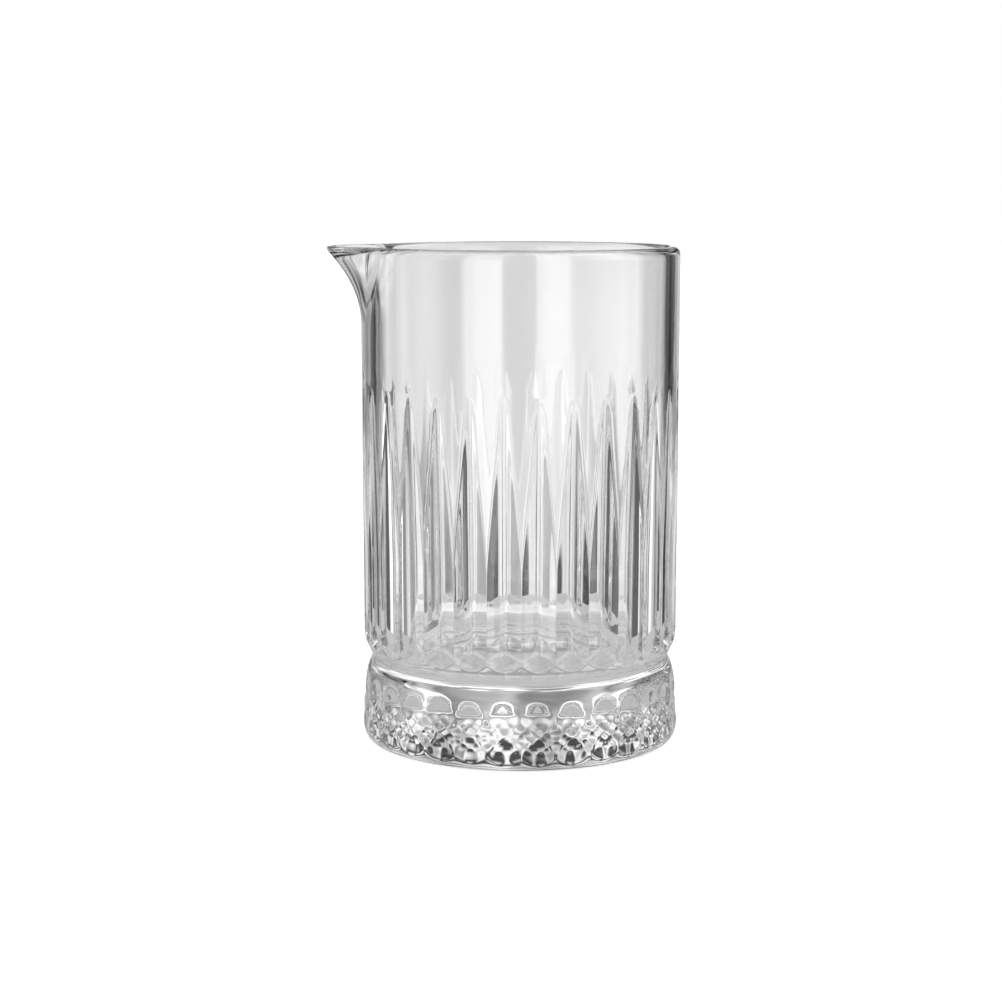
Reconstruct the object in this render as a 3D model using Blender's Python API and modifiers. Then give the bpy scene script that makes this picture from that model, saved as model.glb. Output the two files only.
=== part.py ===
"""A mixing glass: one piece of clear pressed glass with a pouring spout in its rim.

The glass stands on the plane z = 0 with its axis on the Z axis, and its spout points along -X.
A turned blank gives the wall, the rim, the floor and the foot. The press pattern is then sunk into
its outside: pointed V flutes up the body and rows of round dimples round the foot. Last, the rim is
drawn out into the spout. Sizes are in metres, and angles in degrees.
"""
import math

import bmesh
import bpy

# Body
HEIGHT = 0.148
BODY_RADIUS = 0.0475
WALL = 0.0042
FLOOR_HEIGHT = 0.024
FLOOR_FILLET = 0.007

# Shoulder, neck and foot
SHOULDER_TOP = 0.0305
SHOULDER_SLOPE = 0.49
SHOULDER_BLEND = 0.0008
NECK_HEIGHT = 0.0243
NECK_RADIUS = 0.0444
FOOT_RADIUS = 0.04795
FOOT_WIDEST = 0.005
BASE_RADIUS = 0.0461

# Flutes: pointed V grooves side by side, one of them under the spout
FLUTES = 30
FLUTE_TIP = 0.1075
FLUTE_JOIN = 0.058
FLUTE_DEPTH = 0.0017
FLUTE_END_TOP = 0.0335
FLUTE_END_LOW = 0.0291
RIDGE_SHARE = 0.08

# Dimples on the foot, in three staggered rows
DIMPLE_LOWEST = 0.0058
DIMPLE_ROW = 0.0043
DIMPLE_ROWS = 3
DIMPLE_WIDTH = 0.0092
DIMPLE_HEIGHT = 0.0086
DIMPLE_DEPTH = 0.0006

# Spout
SPOUT_ANGLE = 180.0
SPOUT_BASE = 0.124
SPOUT_REACH = 0.0115
SPOUT_POWER = 2.15
SPOUT_HALF_ANGLE_TOP = 30.0
SPOUT_HALF_ANGLE_BASE = 14.0

# How finely the shape is divided
COLUMNS = 4 * FLUTES
RIM_STEPS = 6
FILLET_STEPS = 3
SPOUT_STEPS = 5
TAPER_STEPS = 4
STRAIGHT_STEPS = 2
RUN_OUT_STEPS = 2
HALF_ROWS_BELOW = 2
MERGE = 0.00001
ON_COLUMN = 1.0
ON_ROW = 0.01
SHARP_ANGLE = 35.0

PITCH = 360.0 / FLUTES
HALF_ROW = DIMPLE_ROW / 2
INNER_RADIUS = BODY_RADIUS - WALL
RIM_RADIUS = WALL / 2
RIM_START = HEIGHT - RIM_RADIUS
CLEAR_GLASS = (0.93, 0.95, 0.95, 1.0)
GLASS_IOR = 1.52


def clear_scene():
    """Remove every object that the file already holds."""
    for old in list(bpy.data.objects):
        bpy.data.objects.remove(old, do_unlink=True)


def glass_material():
    """Clear, colourless glass."""
    material = bpy.data.materials.new("clear_glass")
    material.use_nodes = True
    shader = material.node_tree.nodes["Principled BSDF"]
    shader.inputs["Base Color"].default_value = CLEAR_GLASS
    shader.inputs["Metallic"].default_value = 0.0
    shader.inputs["Roughness"].default_value = 0.02
    shader.inputs["IOR"].default_value = GLASS_IOR
    shader.inputs["Transmission Weight"].default_value = 1.0
    return material


def spread(start, end, steps):
    """Evenly spaced values from start to end, both included."""
    return [start + (end - start) * step / steps for step in range(steps + 1)]


def ellipse_drop(share):
    """How far a quarter ellipse of height 1 has dropped at a share of its width."""
    return 1.0 - math.sqrt(max(0.0, 1.0 - share * share))


def foot_radius(z):
    """Outside of the foot: widest just above the table, rounded in above and below."""
    if z >= FOOT_WIDEST:
        share = (z - FOOT_WIDEST) / (NECK_HEIGHT - FOOT_WIDEST)
        return FOOT_RADIUS - (FOOT_RADIUS - NECK_RADIUS) * ellipse_drop(share)
    share = (FOOT_WIDEST - z) / FOOT_WIDEST
    return FOOT_RADIUS - (FOOT_RADIUS - BASE_RADIUS) * ellipse_drop(share)


def body_radius(z):
    """Outside of the body: a straight wall that turns into a cone above the neck."""
    below = (SHOULDER_TOP - z) / SHOULDER_BLEND
    return BODY_RADIUS - SHOULDER_SLOPE * SHOULDER_BLEND * math.log1p(math.exp(below))


def rim_arc():
    """Half circle over the rim, from the inside to the outside."""
    centre = BODY_RADIUS - RIM_RADIUS
    turns = [math.radians(angle) for angle in spread(180.0, 0.0, RIM_STEPS)]
    return [(centre + RIM_RADIUS * math.cos(t), RIM_START + RIM_RADIUS * math.sin(t)) for t in turns]


def inside_profile():
    """From the middle of the floor, round the fillet and up the inner wall."""
    points = [(0.0, FLOOR_HEIGHT)]
    centre = INNER_RADIUS - FLOOR_FILLET
    for angle in spread(-90.0, 0.0, FILLET_STEPS):
        turn = math.radians(angle)
        radius = centre + FLOOR_FILLET * math.cos(turn)
        points.append((radius, FLOOR_HEIGHT + FLOOR_FILLET * (1.0 + math.sin(turn))))
    points += [(INNER_RADIUS, z) for z in spread(SPOUT_BASE, RIM_START, SPOUT_STEPS)[:-1]]
    return points


def outside_profile():
    """From below the rim, down the body, over the shoulder and the foot, to the middle of the base."""
    heights = spread(RIM_START, SPOUT_BASE, SPOUT_STEPS)[1:]
    heights += spread(FLUTE_TIP, FLUTE_JOIN, TAPER_STEPS)
    heights += spread(FLUTE_JOIN, FLUTE_END_TOP, STRAIGHT_STEPS)[1:]
    heights += spread(FLUTE_END_TOP, FLUTE_END_LOW, RUN_OUT_STEPS)[1:]
    heights += [(FLUTE_END_LOW + NECK_HEIGHT) / 2]
    points = [(body_radius(z), z) for z in heights]
    below_neck = math.floor((NECK_HEIGHT - DIMPLE_LOWEST) / HALF_ROW)
    heights = [NECK_HEIGHT]
    heights += [DIMPLE_LOWEST + HALF_ROW * row for row in range(below_neck, -HALF_ROWS_BELOW - 1, -1)]
    heights += [HALF_ROW / 3, 0.0]
    points += [(foot_radius(z), z) for z in heights]
    return points + [(0.0, 0.0)]


def turned_blank():
    """The plain glass before pressing: its profile turned about the Z axis."""
    points = inside_profile() + rim_arc() + outside_profile()
    mesh = bpy.data.meshes.new("blank")
    edges = [(index, index + 1) for index in range(len(points) - 1)]
    mesh.from_pydata([(radius, 0.0, z) for radius, z in points], edges, [])
    blank = bpy.data.objects.new("blank", mesh)
    bpy.context.scene.collection.objects.link(blank)
    screw = blank.modifiers.new("turn", "SCREW")
    screw.axis = "Z"
    screw.angle = math.radians(360.0)
    screw.steps = COLUMNS
    screw.render_steps = COLUMNS
    screw.use_merge_vertices = True
    screw.merge_threshold = MERGE
    bpy.context.view_layer.update()
    turned = bpy.data.meshes.new_from_object(blank.evaluated_get(bpy.context.evaluated_depsgraph_get()))
    bpy.data.objects.remove(blank, do_unlink=True)
    return turned


def from_centre(angle, first=0.0):
    """Signed angle from the nearest of the evenly spaced centre lines."""
    return (angle - first + PITCH / 2) % PITCH - PITCH / 2


def flute_half_width(z):
    """Half the angle that a flute spans: nothing at its tip, half the pitch where neighbours meet."""
    share = (FLUTE_TIP - z) / (FLUTE_TIP - FLUTE_JOIN)
    return PITCH / 2 * min(max(share, 0.0), 1.0)


def press_flute(angle, z):
    """New angle and depth of a point on the body, with the columns drawn onto the flutes' edges."""
    offset = from_centre(angle)
    width = flute_half_width(z)
    if width <= 0.0 or z < FLUTE_END_LOW - MERGE:
        return angle, 0.0
    if abs(offset) < ON_COLUMN:
        run_out = min((z - FLUTE_END_LOW) / (FLUTE_END_TOP - FLUTE_END_LOW), 1.0)
        return angle, FLUTE_DEPTH * width / (PITCH / 2) * run_out
    if abs(offset) > PITCH / 2 - ON_COLUMN:
        return angle, 0.0
    edge = min(width, (1.0 - RIDGE_SHARE) * PITCH / 2)
    return angle - offset + math.copysign(edge, offset), 0.0


def dimple_depth(angle, z):
    """Depth of the deepest dimple at a point on the foot."""
    deepest = 0.0
    for row in range(DIMPLE_ROWS):
        across = math.radians(from_centre(angle, PITCH / 2 * (row % 2))) * FOOT_RADIUS
        along = z - DIMPLE_LOWEST - DIMPLE_ROW * row
        far = (2 * across / DIMPLE_WIDTH) ** 2 + (2 * along / DIMPLE_HEIGHT) ** 2
        deepest = max(deepest, DIMPLE_DEPTH * (1.0 - far))
    return deepest


def spout_push(angle, z):
    """How far the wall is drawn outward into the spout."""
    rise = (z - SPOUT_BASE) / (HEIGHT - SPOUT_BASE)
    if rise <= 0.0:
        return 0.0
    half_angle = SPOUT_HALF_ANGLE_BASE + (SPOUT_HALF_ANGLE_TOP - SPOUT_HALF_ANGLE_BASE) * rise
    aside = abs((angle - SPOUT_ANGLE + 180.0) % 360.0 - 180.0) / half_angle
    if aside >= 1.0:
        return 0.0
    return SPOUT_REACH * rise ** SPOUT_POWER * math.cos(math.pi / 2 * aside) ** 2


def press(point):
    """Place of one point of the blank after pressing."""
    radius = math.hypot(point.x, point.y)
    angle = math.degrees(math.atan2(point.y, point.x))
    z = point.z
    outside = radius > INNER_RADIUS + MERGE
    if outside and MERGE < z < NECK_HEIGHT - MERGE:
        radius -= dimple_depth(angle, z)
    if outside and z > NECK_HEIGHT + MERGE:
        angle, depth = press_flute(angle, z)
        radius -= depth
    radius += spout_push(angle, z)
    turn = math.radians(angle)
    return radius * math.cos(turn), radius * math.sin(turn), z


def on_dimple_edge(point):
    """Whether a point lies on the slanting lines where two rows of dimples meet."""
    column = round(math.degrees(math.atan2(point.y, point.x)) * COLUMNS / 360.0)
    steps_up = (point.z - DIMPLE_LOWEST) / HALF_ROW
    row = round(steps_up)
    in_pattern = MERGE < point.z < NECK_HEIGHT - MERGE and abs(steps_up - row) < ON_ROW
    return in_pattern and ((column + row) % 4 == 2 or (column - row) % 4 == 2)


def build_glass(collection):
    """The whole glass as one closed solid."""
    mesh = turned_blank()
    shape = bmesh.new()
    shape.from_mesh(mesh)
    edge_points = [vert for vert in shape.verts if on_dimple_edge(vert.co)]
    for vert in shape.verts:
        if math.hypot(vert.co.x, vert.co.y) > MERGE:
            vert.co = press(vert.co)
    bmesh.ops.connect_verts(shape, verts=edge_points)
    bmesh.ops.triangulate(shape, faces=shape.faces)
    shape.to_mesh(mesh)
    shape.free()
    mesh.name = "glass_body"
    mesh.shade_smooth()
    mesh.set_sharp_from_angle(angle=math.radians(SHARP_ANGLE))
    mesh.materials.clear()
    mesh.materials.append(glass_material())
    glass = bpy.data.objects.new("glass_body", mesh)
    collection.objects.link(glass)
    return glass


def main():
    clear_scene()
    collection = bpy.data.collections.new("mixing_glass")
    bpy.context.scene.collection.children.link(collection)
    build_glass(collection)


main()
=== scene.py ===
"""The looks of the mixing glass: a fine glass mesh, its material, the studio and the camera.

Lengths are in metres and angles in degrees. The glass stands on z = 0 with its spout along -X, and the
camera looks along +Y. Angles round the glass are measured from +X.
"""
import math

import bmesh
import bpy
import numpy as np
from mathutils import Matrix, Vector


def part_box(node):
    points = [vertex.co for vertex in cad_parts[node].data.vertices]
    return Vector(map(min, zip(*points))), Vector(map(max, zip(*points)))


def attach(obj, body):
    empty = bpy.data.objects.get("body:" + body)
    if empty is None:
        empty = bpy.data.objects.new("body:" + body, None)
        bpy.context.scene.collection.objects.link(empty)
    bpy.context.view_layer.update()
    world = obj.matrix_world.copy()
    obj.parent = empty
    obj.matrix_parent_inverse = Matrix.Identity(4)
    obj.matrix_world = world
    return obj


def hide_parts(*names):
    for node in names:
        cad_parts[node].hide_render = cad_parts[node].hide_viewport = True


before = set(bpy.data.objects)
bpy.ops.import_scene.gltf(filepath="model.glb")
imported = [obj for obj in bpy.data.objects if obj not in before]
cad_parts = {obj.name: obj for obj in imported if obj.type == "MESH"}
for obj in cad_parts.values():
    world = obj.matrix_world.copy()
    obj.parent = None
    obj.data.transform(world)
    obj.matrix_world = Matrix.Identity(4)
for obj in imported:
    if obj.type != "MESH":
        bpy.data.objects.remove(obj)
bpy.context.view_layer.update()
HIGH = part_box("glass_body")[1]

# Sizes read from the frame
HEIGHT = HIGH.z
FOOT_RADIUS = HIGH.y

# The same design dimensions as the solid
BODY_RADIUS = 0.0475
WALL = 0.0042
FLOOR_HEIGHT = 0.024
FLOOR_FILLET = 0.007
SHOULDER_TOP = 0.0305
SHOULDER_SLOPE = 0.49
SHOULDER_BLEND = 0.0008
NECK_HEIGHT = 0.0243
NECK_RADIUS = 0.0444
FOOT_WIDEST = 0.005
BASE_RADIUS = 0.0461
FLUTES = 30
FLUTE_TIP = 0.1075
FLUTE_JOIN = 0.058
FLUTE_DEPTH = 0.0017
DIMPLE_LOWEST = 0.0058
DIMPLE_ROW = 0.0043
DIMPLE_ROWS = 3
DIMPLE_DEPTH = 0.0006
SPOUT_ANGLE = 180.0
SPOUT_BASE = 0.124
SPOUT_POWER = 2.15
SPOUT_HALF_ANGLE_TOP = 30.0
SPOUT_HALF_ANGLE_BASE = 14.0

# The solid's spout reaches 0.1 mm further, so that this finer one stays inside its box
SPOUT_REACH = 0.01139

# Finer detail than the solid has. FLUTE_TIP_HALF, RIDGE_HALF, VALLEY_ROUND, EDGE_ROUND and EYE_HALF_WIDTH
# are angles. An eye is the slanted end of a flute at the shoulder.
FLUTE_NOSE = 0.005
FLUTE_TIP_HALF = 0.5
RIDGE_HALF = 0.4
VALLEY_ROUND = 0.7
EDGE_ROUND = 0.3
EYE_HEIGHT = 0.0312
EYE_RISE = 0.0022
EYE_HALF_WIDTH = 5.6
EYE_LEAST = 0.08
EYE_BOTTOM = NECK_HEIGHT + 0.002
EYE_TOP = 0.038

# Dimples: half their height, how much of the pitch they fill, how soft the ridges between them are, how far
# each strays from its place and depth, and the turn in radians that makes them stray differently
DIMPLE_TALL = 0.0047
DIMPLE_SHARE = 0.92
DIMPLE_BLEND = 0.00012
UNEVEN_PLACE = 0.1
UNEVEN_DEPTH = 0.15
GOLDEN_ANGLE = math.pi * (3.0 - math.sqrt(5.0))

PITCH = 360.0 / FLUTES
HALF_PITCH = PITCH / 2
INNER_RADIUS = BODY_RADIUS - WALL
RIM_RADIUS = WALL / 2
RIM_START = HEIGHT - RIM_RADIUS

# Mesh divisions. The shares place columns across half a flute, then across the ridge beside it.
HALF_STEPS = 14
FOOT_STEPS = 10
FOOT_LEVELS = 4
FOOT_COLUMNS = 2 * FOOT_STEPS * FLUTES
WIDE_COLUMNS = 420
UNDER_COLUMNS = WIDE_COLUMNS // 3
FLOOR_COLUMNS = 90
FLANK_SHARES = (0.0, 0.04, 0.1, 0.2, 0.42, 0.7, 0.86, 0.95, 1.0)
LAND_SHARES = (0.06, 0.18, 0.36, 0.57, 0.78, 1.0)
NARROWEST = 2.2
RIM_STEPS = 12
SPOUT_STEPS = 22
ABOVE_TIP = (1.1, 1 / 4, 1 / 12, 0.0)
NOSE_STEPS = 7
TAPER_STEPS = 6
STRAIGHT_STEPS = 3
EYE_TOP_STEPS = 3
EYE_STEPS = 7
SHOULDER_STEPS = 8
NECK_STEPS = 7
LOWEST_FOOT_SHARES = (0.55, 0.25, 0.08, 0.0)
INNER_WALL_STEPS = 4
FILLET_STEPS = 12
FLOOR_SHARES = (0.85, 0.6, 0.3, 0.1)
UNDER_SHARES = (0.97, 0.6, 0.2)


# ---------------------------------------------------------------- shape of the glass

def ellipse_drop(share):
    """How far a quarter ellipse of height 1 has dropped at a share of its width."""
    return 1.0 - np.sqrt(np.clip(1.0 - share * share, 0.0, 1.0))


def foot_radius(z):
    """Outside of the foot, widest just above the table."""
    above = (z - FOOT_WIDEST) / (NECK_HEIGHT - FOOT_WIDEST)
    below = (FOOT_WIDEST - z) / FOOT_WIDEST
    upper = FOOT_RADIUS - (FOOT_RADIUS - NECK_RADIUS) * ellipse_drop(np.clip(above, 0.0, 1.0))
    return upper - (FOOT_RADIUS - BASE_RADIUS) * ellipse_drop(np.clip(below, 0.0, 1.0))


def body_radius(z):
    """Outside of the body: a straight wall that turns into a cone above the neck."""
    below = (SHOULDER_TOP - z) / SHOULDER_BLEND
    return BODY_RADIUS - SHOULDER_SLOPE * SHOULDER_BLEND * np.logaddexp(0.0, below)


def from_centre(angle, first=0.0):
    """Signed angle from the nearest of the evenly spaced centre lines."""
    return (angle - first + HALF_PITCH) % PITCH - HALF_PITCH


def nose_share(z):
    """Share of a flute's size left at a height in its rounded nose."""
    nose = np.clip((z - FLUTE_TIP + FLUTE_NOSE) / FLUTE_NOSE, 0.0, 1.0)
    return np.sqrt(1.0 - nose ** 2)


def flute_half_width(z):
    """Half the angle a flute spans, from its nose to where neighbours nearly meet."""
    full = HALF_PITCH - RIDGE_HALF
    straight = FLUTE_TIP_HALF + (full - FLUTE_TIP_HALF) * (FLUTE_TIP - z) / (FLUTE_TIP - FLUTE_JOIN)
    return np.minimum(straight, full) * nose_share(z)


def eye_arc(offset):
    """Height of an eye's upper and lower arcs as a share, at an angle from the flute's valley."""
    return np.maximum(np.sqrt(np.clip(1.0 - (offset / EYE_HALF_WIDTH) ** 2, 0.0, 1.0)), EYE_LEAST)


def flute_depth(offset, z):
    """Depth of the V flutes, with a rounded valley, rounded edges and a slanted end."""
    slope = FLUTE_DEPTH / (HALF_PITCH - RIDGE_HALF)
    away = np.sqrt(offset ** 2 + VALLEY_ROUND ** 2) - VALLEY_ROUND
    inside = flute_half_width(z) - away
    depth = slope * (inside + np.sqrt(inside ** 2 + EDGE_ROUND ** 2)) / 2 * nose_share(z)
    rise = EYE_RISE * eye_arc(offset)
    run_out = np.clip((z - (EYE_HEIGHT - rise)) / (2 * rise), 0.0, 1.0)
    return depth * run_out


def dimple_depth(angle, z):
    """Depth of the dimples at a point on the foot, where rounded ridges stay between them.

    Pressed glass is a little uneven, so each dimple is slightly off its place and its full depth.
    """
    total = np.ones_like(angle)
    for row in range(DIMPLE_ROWS):
        shift = HALF_PITCH * (row % 2)
        across = from_centre(angle, shift) / HALF_PITCH
        number = np.round((angle - shift) / (2.0 * HALF_PITCH)) % FLUTES
        along = (z - DIMPLE_LOWEST - DIMPLE_ROW * row) / DIMPLE_TALL
        for step in (-1, 0, 1):
            turn = GOLDEN_ANGLE * ((number + step) % FLUTES + FLUTES * row) ** 2
            sideways = across - 2.0 * step + UNEVEN_PLACE * np.sin(turn)
            upwards = along + UNEVEN_PLACE * np.cos(turn)
            far = (sideways ** 2 + upwards ** 2) / DIMPLE_SHARE ** 2
            deepest = DIMPLE_DEPTH * (1.0 + UNEVEN_DEPTH * np.sin(2.0 * turn))
            total = total + np.exp(deepest * (1.0 - far) / DIMPLE_BLEND)
    return DIMPLE_BLEND * np.log(total)


def spout_push(angle, z):
    """How far the wall is drawn outward into the spout."""
    rise = np.clip((z - SPOUT_BASE) / (HEIGHT - SPOUT_BASE), 0.0, 1.0)
    half_angle = SPOUT_HALF_ANGLE_BASE + (SPOUT_HALF_ANGLE_TOP - SPOUT_HALF_ANGLE_BASE) * rise
    aside = np.clip(np.abs((angle - SPOUT_ANGLE + 180.0) % 360.0 - 180.0) / half_angle, 0.0, 1.0)
    return SPOUT_REACH * rise ** SPOUT_POWER * np.cos(np.pi / 2 * aside) ** 2


# ---------------------------------------------------------------- rows and columns of the mesh

def column_angles(z):
    """Angles of all columns at a height, drawn onto the flutes' valleys, edges and ridges."""
    if z > FLUTE_TIP + FLUTE_NOSE or z <= NECK_HEIGHT:
        half = np.linspace(0.0, HALF_PITCH, HALF_STEPS + 1)
    else:
        width = max(float(flute_half_width(z)), NARROWEST)
        flank = np.array(FLANK_SHARES) * width
        land = width + np.array(LAND_SHARES) * (HALF_PITCH - width)
        half = np.concatenate([flank, land])
    one_flute = np.concatenate([half[:-1], PITCH - half[:0:-1]])
    return (np.arange(FLUTES)[:, None] * PITCH + one_flute[None, :]).ravel()


def eye_height(z, offset):
    """Height of a row's points near the flutes' ends, where the rows bend round the eyes."""
    rise = EYE_RISE * eye_arc(offset)
    marks = np.array([EYE_BOTTOM, EYE_HEIGHT - EYE_RISE, EYE_HEIGHT + EYE_RISE, EYE_TOP])
    if not marks[0] < z < marks[-1]:
        return np.full_like(offset, z)
    places = [np.full_like(offset, marks[0]), EYE_HEIGHT - rise, EYE_HEIGHT + rise,
              np.full_like(offset, marks[-1])]
    part = int(np.searchsorted(marks, z)) - 1
    share = (z - marks[part]) / (marks[part + 1] - marks[part])
    return places[part] + (places[part + 1] - places[part]) * share


def ring(radius, angle, z):
    """Points of one row."""
    turn = np.radians(angle)
    return np.stack([radius * np.cos(turn), radius * np.sin(turn), z], axis=1)


def body_row(z):
    """One row on the outside of the body, from the flutes' tips to the neck."""
    angle = column_angles(z)
    offset = from_centre(angle)
    height = eye_height(z, offset)
    radii = body_radius(height) - flute_depth(offset, height)
    return ring(radii + spout_push(angle, height), angle, height)


def plain_row(radius, z, count=WIDE_COLUMNS):
    """One row with evenly spaced columns, drawn into the spout where it is high enough."""
    angle = np.arange(count) * 360.0 / count
    return ring(radius + spout_push(angle, z), angle, np.full_like(angle, z))


def foot_row(z):
    """One row on the foot, with its dimples."""
    angle = np.arange(FOOT_COLUMNS) * 360.0 / FOOT_COLUMNS
    height = np.full_like(angle, z)
    return ring(foot_radius(height) - dimple_depth(angle, height), angle, height)


def steps_down(high, low, count):
    """Evenly spaced values from just past one end to the other end."""
    return np.linspace(high, low, count + 1)[1:]


def body_heights():
    """Heights of the fluted body's rows, closest where the shape turns most."""
    nose_turns = steps_down(0.0, math.pi / 2, NOSE_STEPS)
    return np.concatenate([
        [FLUTE_TIP + FLUTE_NOSE * share for share in ABOVE_TIP],
        FLUTE_TIP - FLUTE_NOSE * (1.0 - np.cos(nose_turns)),
        steps_down(FLUTE_TIP - FLUTE_NOSE, FLUTE_JOIN, TAPER_STEPS),
        steps_down(FLUTE_JOIN, EYE_TOP, STRAIGHT_STEPS),
        steps_down(EYE_TOP, EYE_HEIGHT + EYE_RISE, EYE_TOP_STEPS),
        steps_down(EYE_HEIGHT + EYE_RISE, EYE_HEIGHT - EYE_RISE, EYE_STEPS),
        steps_down(EYE_HEIGHT - EYE_RISE, NECK_HEIGHT, SHOULDER_STEPS),
    ])


def outside_rows():
    """All rows from the rim's inner edge, over the rim and down the outside to the table.

    Also returns the number of the first row among the dimples.
    """
    rows = []
    centre = BODY_RADIUS - RIM_RADIUS
    for turn in np.linspace(math.pi, 0.0, RIM_STEPS + 1):
        rows.append(plain_row(centre + RIM_RADIUS * math.cos(turn), RIM_START + RIM_RADIUS * math.sin(turn)))
    rows += [plain_row(BODY_RADIUS, z) for z in steps_down(RIM_START, SPOUT_BASE, SPOUT_STEPS)]
    rows += [body_row(z) for z in body_heights()]
    fine = DIMPLE_ROW / FOOT_STEPS
    steps = FOOT_LEVELS * FOOT_STEPS
    start = math.asin((fine * steps - FOOT_WIDEST) / (NECK_HEIGHT - FOOT_WIDEST))
    for turn in steps_down(math.pi / 2, start, NECK_STEPS)[:-1]:
        rows.append(foot_row(FOOT_WIDEST + (NECK_HEIGHT - FOOT_WIDEST) * math.sin(turn)))
    first_foot = len(rows)
    rows += [foot_row(fine * step) for step in range(steps, 0, -1)]
    rows += [foot_row(fine * share) for share in LOWEST_FOOT_SHARES]
    return rows, first_foot


def inside_rows():
    """Rows of the inside, from the rim down to the floor's centre, coarser below the spout."""
    heights = np.concatenate([
        steps_down(RIM_START, SPOUT_BASE, SPOUT_STEPS),
        steps_down(SPOUT_BASE, FLOOR_HEIGHT + FLOOR_FILLET, INNER_WALL_STEPS),
    ])
    rows = [plain_row(INNER_RADIUS, z) for z in heights]
    centre = INNER_RADIUS - FLOOR_FILLET
    for turn in steps_down(0.0, math.pi / 2, FILLET_STEPS):
        rows.append(plain_row(centre + FLOOR_FILLET * math.cos(turn),
                              FLOOR_HEIGHT + FLOOR_FILLET * (1.0 - math.sin(turn))))
    rows += [plain_row(centre * share, FLOOR_HEIGHT, FLOOR_COLUMNS) for share in FLOOR_SHARES]
    return rows


def strip(first, second, ring_a, ring_b, slant=None):
    """Faces between two rings of points, wound so that the upper ring comes first going down the outside."""
    n, m = len(ring_a), len(ring_b)
    faces = []
    if n == m:
        for i in range(n):
            j = (i + 1) % n
            quad = (first + i, second + i, second + j, first + j)
            if slant is None:
                faces.append(quad)
            elif slant(i):
                faces += [(quad[0], quad[1], quad[3]), (quad[1], quad[2], quad[3])]
            else:
                faces += [(quad[0], quad[1], quad[2]), (quad[0], quad[2], quad[3])]
        return faces
    i = j = 0
    while i < n or j < m:
        if j * n <= i * m and j < m:
            faces.append((first + i % n, second + j, second + (j + 1) % m))
            j += 1
        else:
            faces.append((first + i, second + j % m, first + (i + 1) % n))
            i += 1
    return faces


def foot_slant(level):
    """Which way the faces of a foot row are split, so that their edges run along the dimples' edges."""
    def slant(column):
        return (column // FOOT_STEPS + (level - 1) // FOOT_STEPS) % 2 == 0
    return slant


def glass_mesh():
    """The closed skin of the glass: outside, inside and underside, each joined to the next."""
    outer, first_foot = outside_rows()
    inner = inside_rows()
    under = [plain_row(BASE_RADIUS * share, 0.0, UNDER_COLUMNS) for share in UNDER_SHARES]
    rows = outer + inner + under
    starts = np.cumsum([0] + [len(row) for row in rows]).tolist()
    floor_centre, base_centre = starts[-1], starts[-1] + 1
    last_foot = first_foot + FOOT_LEVELS * FOOT_STEPS - 1
    first_inner = len(outer)
    last_inner = first_inner + len(inner) - 1
    faces = []

    def bridge(upper, lower, slant=None):
        return strip(starts[upper], starts[lower], rows[upper], rows[lower], slant)

    for row in range(len(outer) - 1):
        among_dimples = first_foot <= row < last_foot
        slant = foot_slant(last_foot + 1 - row) if among_dimples else None
        faces += bridge(row, row + 1, slant)
    faces += [face[::-1] for face in bridge(0, first_inner)]
    for row in range(first_inner, last_inner):
        faces += [face[::-1] for face in bridge(row, row + 1)]
    n = len(rows[last_inner])
    faces += [(starts[last_inner] + i, starts[last_inner] + (i + 1) % n, floor_centre) for i in range(n)]
    faces += bridge(first_inner - 1, last_inner + 1)
    for row in range(last_inner + 1, len(rows) - 1):
        faces += bridge(row, row + 1)
    n = len(rows[-1])
    faces += [(starts[-2] + (i + 1) % n, starts[-2] + i, base_centre) for i in range(n)]
    points = np.concatenate(rows + [np.array([[0.0, 0.0, FLOOR_HEIGHT], [0.0, 0.0, 0.0]])])
    mesh = bpy.data.meshes.new("mixing_glass")
    mesh.from_pydata(points.tolist(), [], faces)
    mesh.validate()
    mesh.shade_smooth()
    return mesh


# ---------------------------------------------------------------- material

GLASS_IOR = 1.52
HAZE_SIZE = 0.03
HAZE_DETAIL = 4.0
HAZE_RANGE = (0.5, 0.8)
HAZE_ROUGHNESS = 0.03
RIPPLE_SIZE = 0.02
RIPPLE_DETAIL = 1.0
RIPPLE_STRETCH = 3.0
RIPPLE_HEIGHT = 0.00006
DEPTH_COLOUR = (0.875, 0.865, 0.87, 1.0)
DEPTH_DENSITY = 9.0


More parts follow.
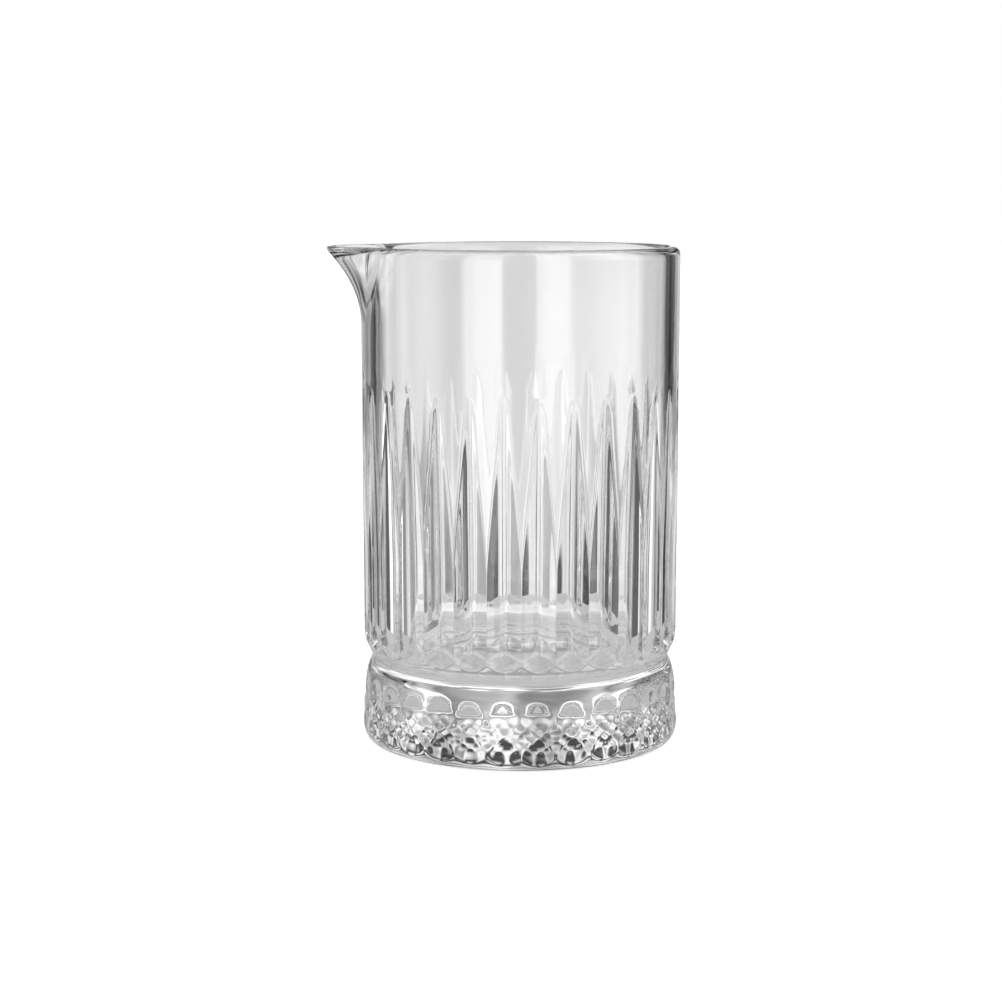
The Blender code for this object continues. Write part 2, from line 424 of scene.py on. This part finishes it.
def glass_material():
    """Clear pressed glass: gently wavy from the mould, faintly hazy in places and grey through its depth."""
    material = bpy.data.materials.new("clear_pressed_glass")
    material.use_nodes = True
    tree = material.node_tree
    nodes, links = tree.nodes, tree.links
    shader = nodes["Principled BSDF"]
    shader.inputs["Base Color"].default_value = (1.0, 1.0, 1.0, 1.0)
    shader.inputs["IOR"].default_value = GLASS_IOR
    shader.inputs["Transmission Weight"].default_value = 1.0
    place = nodes.new("ShaderNodeTexCoord")

    def noise(size, detail, stretch):
        """Noise with features of one size, drawn out along the axis of the glass."""
        squeeze = nodes.new("ShaderNodeMapping")
        squeeze.inputs["Scale"].default_value = (1.0, 1.0, 1.0 / stretch)
        links.new(place.outputs["Object"], squeeze.inputs["Vector"])
        texture = nodes.new("ShaderNodeTexNoise")
        texture.inputs["Scale"].default_value = 1.0 / size
        texture.inputs["Detail"].default_value = detail
        links.new(squeeze.outputs["Vector"], texture.inputs["Vector"])
        return texture.outputs["Fac"]

    haze = nodes.new("ShaderNodeMapRange")
    haze.inputs["From Min"].default_value = HAZE_RANGE[0]
    haze.inputs["From Max"].default_value = HAZE_RANGE[1]
    haze.inputs["To Max"].default_value = HAZE_ROUGHNESS
    links.new(noise(HAZE_SIZE, HAZE_DETAIL, 1.0), haze.inputs["Value"])
    links.new(haze.outputs["Result"], shader.inputs["Roughness"])

    ripple = nodes.new("ShaderNodeBump")
    ripple.inputs["Strength"].default_value = 1.0
    ripple.inputs["Distance"].default_value = RIPPLE_HEIGHT
    links.new(noise(RIPPLE_SIZE, RIPPLE_DETAIL, RIPPLE_STRETCH), ripple.inputs["Height"])
    links.new(ripple.outputs["Normal"], shader.inputs["Normal"])

    depth = nodes.new("ShaderNodeVolumeAbsorption")
    depth.inputs["Color"].default_value = DEPTH_COLOUR
    depth.inputs["Density"].default_value = DEPTH_DENSITY
    links.new(depth.outputs["Volume"], nodes["Material Output"].inputs["Volume"])
    return material


# ---------------------------------------------------------------- studio

# Light round the glass, each list as (angle, light level) with even blends between. The first three run
# from the spout's side at -90 to the other side at 90: behind the glass near the horizon, behind it higher
# up, and in front of it, on the camera's side.
# More than half of the pairs in BACK_STOPS and FRONT_STOPS are the rounded output of another program, which
# fitted the light round a plain glass tube to the bands across the photo's glass. The rest were set one by
# one, after looking at renders and at a second fit. The panel names beside them were given afterwards.
BACK_STOPS = [
    (-82, 1.0), (-78, 0.3), (-72, 0.3),                         # end of the left wall, then a grey screen
    (-69, 0.9), (-66, 1.3), (-62, 1.9),                         # left side light
    (-57, 0.05), (-42, 0.03), (-35, 0.13),                      # left black screen
    (-32, 0.5), (-28, 0.42), (-25, 0.1), (-20, 0.03),           # left strip light and a gap
    (-18, 0.4), (-14, 0.75), (-0.4, 0.79),                      # background, left half
    (0, 0.7), (1.2, 0.7),                                       # dimmer strip down its middle
    (1.6, 0.82), (8, 1.0), (14, 0.75), (18, 0.42), (24, 0.4),   # background, right half
    (27, 0.03), (45, 0.02),                                     # right black screen
    (49, 0.5), (56, 0.6), (61, 1.3), (67, 1.0),                 # right side light
    (71, 0.12), (82, 0.12), (86, 0.6),                          # dark screen, then the right wall
]
HIGH_STOPS = [
    (-90, 0.7), (-62, 0.75),                                    # left wall
    (-57, 0.15), (-36, 0.15),                                   # left dark screen
    (-30, 0.6), (-15, 0.7), (15, 0.7), (24, 0.6),               # background
    (28, 0.1), (45, 0.1),                                       # right dark screen
    (50, 0.6), (90, 0.7),                                       # right wall
]
FRONT_STOPS = [
    (-90, 1.0), (-75, 1.0), (-63, 1.0),                         # left wall
    (-57, 0.2), (-55, 0.0), (-45, 0.0),                         # black gap
    (-43, 0.5), (-41, 1.8), (-30, 2.1), (-20, 2.4), (-15, 2.8),  # left softbox, brightest at its inner end
    (-13, 1.0), (-12, 0.6), (12, 0.6),                          # grey behind the camera
    (14, 0.9), (20, 1.4), (37, 1.4), (40, 0.8), (48, 0.7),      # right softbox and its dimmer edge
    (50, 0.3), (52, 0.0), (58, 0.0),                            # black gap
    (62, 0.2), (75, 0.2), (84, 0.6),                            # right wall
]
# Rings of light above the glass, by elevation, which the solid foot shows by total reflection
RISE_STOPS = [
    (2, 0.8), (5, 0.8),
    (9, 0.03), (11, 0.03),
    (15, 0.9), (17, 0.9),
    (20, 0.45), (30, 0.45),
    (34, 1.4), (50, 1.4),
    (55, 0.3), (90, 0.3),
]
REFLECTORS = 14.0
REFLECTOR_SHARE = 0.4
TABLE_LEVEL = 0.55
UNDER_LEVEL = 0.75

# Where one zone blends into the next, as the height of the direction on a sphere of radius 1
HIGH_BLEND = (-0.07, 0.03)
RISE_BLEND = (0.0, 0.04)
UNDER_BLEND = (-0.35, -0.7)

FLOOR_SIZE = 6.0
FLOOR_DROP = 0.0002
FLOOR_GREY = 0.9
FLOOR_ROUGHNESS = 0.8
FLOOR_GLOW = 0.6
TABLE_RADIUS = 0.16
TABLE_DROP = 0.0001
TABLE_SEGMENTS = 128
DOME_RADIUS = 5.0
DOME_SEGMENTS = 64
DOME_RINGS = 32
DOME_LEVEL = 1.0


def ramp_node(tree, value, stops):
    """A ramp over -90 to 90 degrees of a direction's angle."""
    share = tree.nodes.new("ShaderNodeMapRange")
    share.inputs["From Min"].default_value = -math.pi / 2
    share.inputs["From Max"].default_value = math.pi / 2
    tree.links.new(value, share.inputs["Value"])
    ramp = tree.nodes.new("ShaderNodeValToRGB")
    tree.links.new(share.outputs[0], ramp.inputs[0])
    elements = ramp.color_ramp.elements
    elements.remove(elements[-1])
    for index, (angle, level) in enumerate(stops):
        place = (angle + 90.0) / 180.0
        element = elements[0] if index == 0 else elements.new(place)
        element.position = place
        element.color = (level, level, level, 1.0)
    return ramp.outputs[0]


def studio():
    """The light round the glass. Behind the backdrop, it reaches the glass and the floor only."""
    world = bpy.data.worlds.new("studio")
    bpy.context.scene.world = world
    world.use_nodes = True
    tree = world.node_tree
    nodes, links = tree.nodes, tree.links
    background = nodes["Background"]
    where = nodes.new("ShaderNodeTexCoord")
    split = nodes.new("ShaderNodeSeparateXYZ")
    links.new(where.outputs["Generated"], split.inputs[0])

    def feed(node, slot, value):
        """Set an input to a number, or link another node's output to it."""
        if isinstance(value, (int, float)):
            node.inputs[slot].default_value = value
        else:
            links.new(value, node.inputs[slot])

    def math_node(kind, first, second=0.0):
        node = nodes.new("ShaderNodeMath")
        node.operation = kind
        feed(node, 0, first)
        feed(node, 1, second)
        return node.outputs[0]

    def mix(share, low, high):
        node = nodes.new("ShaderNodeMix")
        node.data_type = "FLOAT"
        feed(node, 0, share)
        feed(node, 2, low)
        feed(node, 3, high)
        return node.outputs[0]

    def smooth(value, low, high):
        node = nodes.new("ShaderNodeMapRange")
        node.interpolation_type = "SMOOTHSTEP"
        node.inputs["From Min"].default_value = low
        node.inputs["From Max"].default_value = high
        links.new(value, node.inputs["Value"])
        return node.outputs[0]

    x, y, z = split.outputs
    round_back = math_node("ARCTAN2", x, y)
    round_front = math_node("ARCTAN2", x, math_node("MULTIPLY", y, -1.0))
    low_back = ramp_node(tree, round_back, BACK_STOPS)
    high_back = ramp_node(tree, round_back, HIGH_STOPS)
    back = mix(smooth(z, *HIGH_BLEND), low_back, high_back)
    front = ramp_node(tree, round_front, FRONT_STOPS)
    level = mix(math_node("GREATER_THAN", y, 0.0), front, back)
    rise = ramp_node(tree, math_node("ARCSINE", z), RISE_STOPS)
    waves = math_node("SINE", math_node("MULTIPLY", round_back, REFLECTORS))
    uneven = math_node("ADD", math_node("MULTIPLY", waves, REFLECTOR_SHARE), 1.0)
    level = mix(smooth(z, *RISE_BLEND), level, math_node("MULTIPLY", rise, uneven))
    level = mix(smooth(z, *UNDER_BLEND), level, UNDER_LEVEL)
    links.new(level, background.inputs["Strength"])
    background.inputs["Color"].default_value = (1.0, 1.0, 1.0, 1.0)


def add_object(name, mesh, material, height=0.0):
    """One object of the stage, at a height."""
    thing = bpy.data.objects.new(name, mesh)
    thing.location.z = height
    mesh.materials.append(material)
    bpy.context.scene.collection.objects.link(thing)
    return thing


def glow_material(name, level):
    """A material that only gives off white light."""
    material = bpy.data.materials.new(name)
    material.use_nodes = True
    tree = material.node_tree
    tree.nodes.clear()
    out = tree.nodes.new("ShaderNodeOutputMaterial")
    emit = tree.nodes.new("ShaderNodeEmission")
    emit.inputs["Strength"].default_value = level
    tree.links.new(emit.outputs[0], out.inputs["Surface"])
    return material


def made_mesh(name, operator, **sizes):
    """A mesh made by one bmesh operator."""
    shape = bmesh.new()
    operator(shape, **sizes)
    mesh = bpy.data.meshes.new(name)
    shape.to_mesh(mesh)
    shape.free()
    return mesh


def stage():
    """A pale floor and a pale dome for the camera, and under the glass a table that only the glass sees."""
    low, high = -FLOOR_SIZE, FLOOR_SIZE
    mesh = bpy.data.meshes.new("floor")
    mesh.from_pydata([(low, low, 0), (high, low, 0), (high, high, 0), (low, high, 0)], [], [(0, 1, 2, 3)])
    material = bpy.data.materials.new("floor")
    material.use_nodes = True
    shader = material.node_tree.nodes["Principled BSDF"]
    shader.inputs["Base Color"].default_value = (FLOOR_GREY, FLOOR_GREY, FLOOR_GREY, 1.0)
    shader.inputs["Roughness"].default_value = FLOOR_ROUGHNESS
    shader.inputs["Specular IOR Level"].default_value = 0.0
    shader.inputs["Emission Color"].default_value = (1.0, 1.0, 1.0, 1.0)
    shader.inputs["Emission Strength"].default_value = FLOOR_GLOW
    floor = add_object("floor", mesh, material, -FLOOR_DROP)
    floor.visible_transmission = False
    floor.visible_glossy = False

    mesh = made_mesh("table", bmesh.ops.create_circle,
                     cap_ends=True, segments=TABLE_SEGMENTS, radius=TABLE_RADIUS)
    disc = add_object("table", mesh, glow_material("table", TABLE_LEVEL), -TABLE_DROP)
    disc.visible_camera = False
    disc.visible_diffuse = False
    disc.visible_shadow = False

    mesh = made_mesh("backdrop", bmesh.ops.create_uvsphere,
                     u_segments=DOME_SEGMENTS, v_segments=DOME_RINGS, radius=DOME_RADIUS)
    dome = add_object("backdrop", mesh, glow_material("backdrop", DOME_LEVEL))
    dome.visible_transmission = False
    dome.visible_glossy = False
    dome.visible_diffuse = False
    dome.visible_shadow = False


# ---------------------------------------------------------------- camera

LENS_MM = 75.74
SENSOR_MM = 36.0
NEAREST = 0.01
FARTHEST = 50.0
CAMERA_PLACE = (-0.00579, -0.63122, 0.16706)
LOOKING_DOWN = 8.61


def camera():
    """The camera, level from side to side and looking slightly down."""
    data = bpy.data.cameras.new("camera")
    data.lens = LENS_MM
    data.sensor_width = SENSOR_MM
    data.clip_start = NEAREST
    data.clip_end = FARTHEST
    cam = bpy.data.objects.new("camera", data)
    cam.location = CAMERA_PLACE
    cam.rotation_euler = (math.radians(90.0 - LOOKING_DOWN), 0.0, 0.0)
    bpy.context.scene.collection.objects.link(cam)
    bpy.context.scene.camera = cam


# ---------------------------------------------------------------- scene

# Light crosses the glass and reflects inside it many times before it leaves
GLASS_BOUNCES = 64
GLOSSY_BOUNCES = 16
DIFFUSE_BOUNCES = 2

camera()
glass = bpy.data.objects.new("mixing_glass", glass_mesh())
bpy.context.scene.collection.objects.link(glass)
glass.data.materials.append(glass_material())
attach(glass, "root")
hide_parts("glass_body")
studio()
stage()
scene = bpy.context.scene
scene.view_settings.view_transform = "Standard"
scene.cycles.max_bounces = GLASS_BOUNCES
scene.cycles.transmission_bounces = GLASS_BOUNCES
scene.cycles.glossy_bounces = GLOSSY_BOUNCES
scene.cycles.diffuse_bounces = DIFFUSE_BOUNCES
